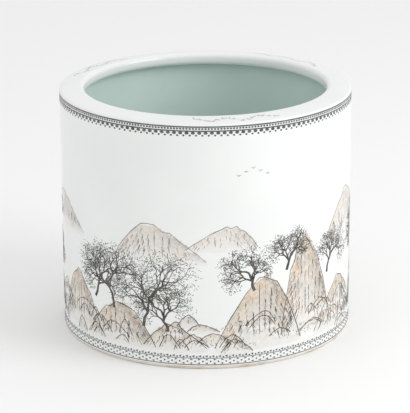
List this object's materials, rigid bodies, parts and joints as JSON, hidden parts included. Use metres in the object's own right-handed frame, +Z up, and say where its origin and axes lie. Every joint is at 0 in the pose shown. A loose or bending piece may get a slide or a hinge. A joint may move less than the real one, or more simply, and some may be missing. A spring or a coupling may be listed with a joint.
{
  "type": "brush pot",
  "caption": "Wide cylindrical glazed porcelain pot for brushes, with a broad flat inward lip, enamelled outside and an unglazed foot ring.",
  "frame": {"origin": "centre of the foot plane", "axes": "+Z up along the pot's axis"},
  "size_m": [0.185, 0.185, 0.1585],
  "materials": {
    "bare_porcelain": "unglazed, fine grained",
    "painted_glaze": "clear gloss over painted enamels",
    "lip_glaze": "clear gloss",
    "turquoise_glaze": "pale turquoise gloss",
    "base_glaze": "clear gloss"
  },
  "bodies": {
    "root": {"foot_ring": "bare_porcelain", "floor_disc": "bare_porcelain", "wall": "bare_porcelain", "lip_ring": "bare_porcelain", "outer_glaze": "painted_glaze", "lip_glaze": "lip_glaze", "inner_glaze": "turquoise_glaze", "base_glaze": "base_glaze"}
  },
  "joints": []
}
